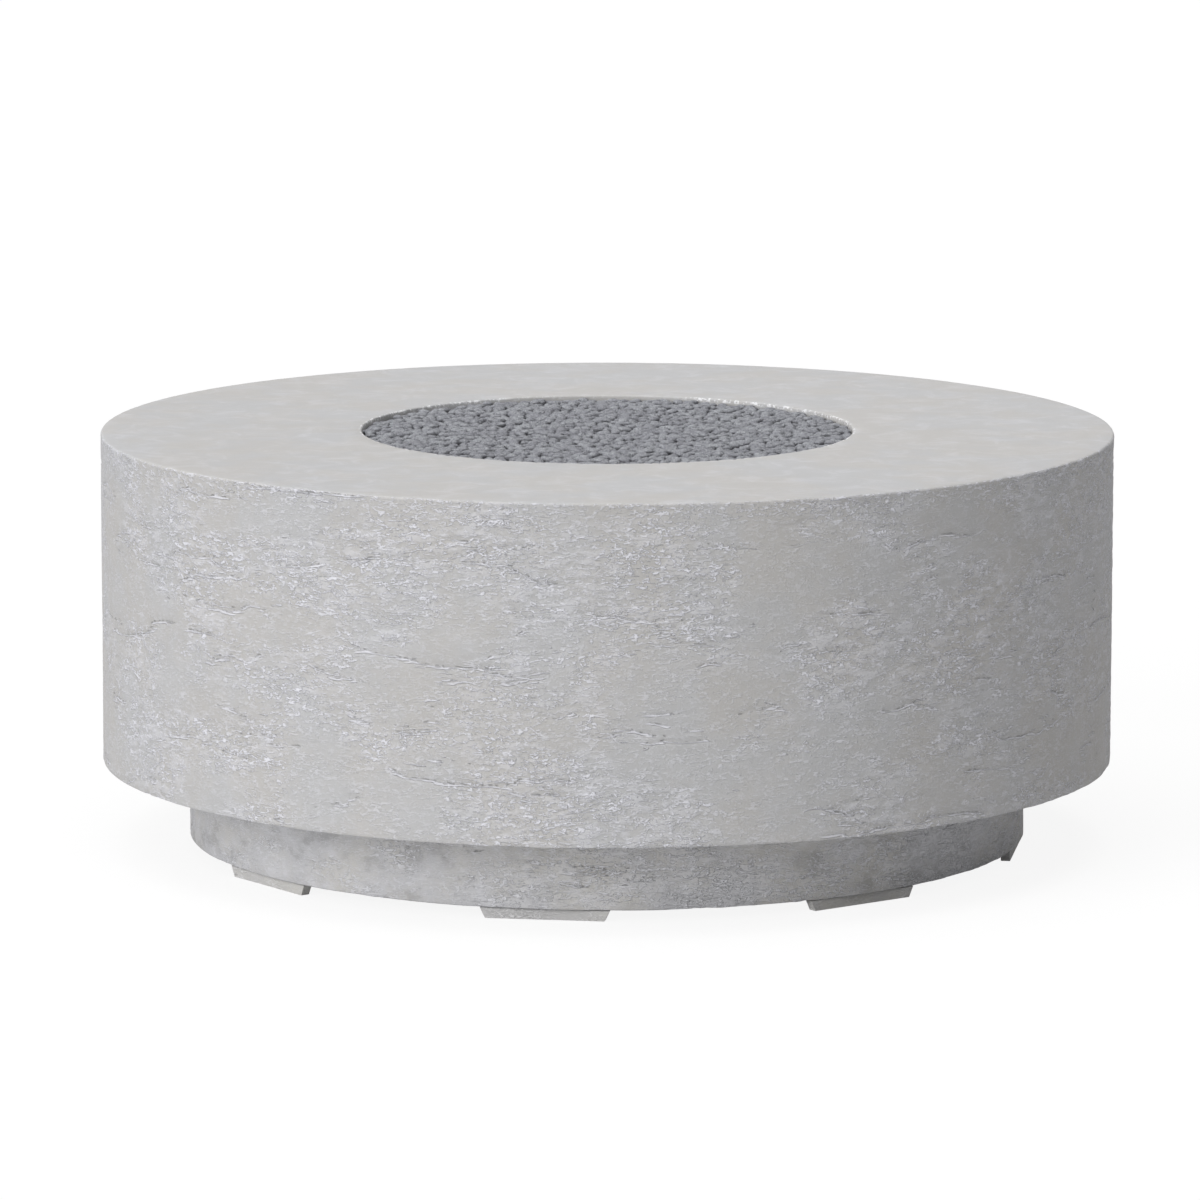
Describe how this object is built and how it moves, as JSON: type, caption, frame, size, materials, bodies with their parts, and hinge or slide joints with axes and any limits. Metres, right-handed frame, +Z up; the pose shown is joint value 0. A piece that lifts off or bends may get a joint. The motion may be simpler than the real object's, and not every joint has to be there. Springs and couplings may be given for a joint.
{
  "type": "fire pit table",
  "caption": "Round cast fire table: drum-shaped shell on a recessed plinth with low feet, a lava rock filled burner opening in the top, a gas burner below it and a key valve in the plinth.",
  "frame": {"origin": "on the floor, on the table's own axis", "axes": "+Z up along the axis of the drum, -Y the front of the table, +Y the back, where the key valve is"},
  "size_m": [1.219, 1.2192, 0.5027],
  "materials": {
    "cast_concrete": "trowelled, softly mottled cast concrete with fine pits",
    "foot": "plain cast concrete",
    "zinc_steel": "zinc plated",
    "stainless": "brushed stainless",
    "brass": "machined",
    "hose": "braided",
    "polished": "polished",
    "lava_rock": "rough porous lava rock"
  },
  "bodies": {
    "table": {"table_shell": "cast_concrete", "base_plinth": "cast_concrete", "foot_1": "foot", "foot_2": "foot", "foot_3": "foot", "foot_4": "foot", "foot_5": "foot", "foot_6": "foot", "foot_7": "foot", "foot_8": "foot", "foot_screws": "zinc_steel", "shell_inserts": "zinc_steel", "plinth_washers": "zinc_steel", "plinth_bolts": "zinc_steel", "burner_pan": "stainless", "burner_outer_ring": "stainless", "burner_inner_ring": "stainless", "burner_spokes": "stainless", "burner_hub": "stainless", "hub_washer": "zinc_steel", "hub_locknut": "zinc_steel", "air_mixer": "stainless", "gas_orifice": "brass", "gas_hose": "hose", "hose_nut_burner": "brass", "hose_nut_valve": "brass", "outlet_fitting": "brass", "inlet_fitting": "brass", "valve_body": "brass", "valve_flange": "polished", "lava_rock_bed": "lava_rock", "lava_rock_stones": "lava_rock"},
    "valve_stem": {"valve_stem": "brass", "valve_ball": "brass"},
    "valve_key": {"valve_key": "polished", "key_cross_bar": "polished"}
  },
  "joints": [
    {"name": "valve_turn", "type": "hinge", "parent": "table", "child": "valve_stem", "pos_m": [0, 0.4608, 0.055], "axis": [0, 1, 0], "range_deg": [0, 90]},
    {"name": "key_slide", "type": "slide", "parent": "valve_stem", "child": "valve_key", "axis": [0, 1, 0], "range_m": [0, 0.045]}
  ]
}
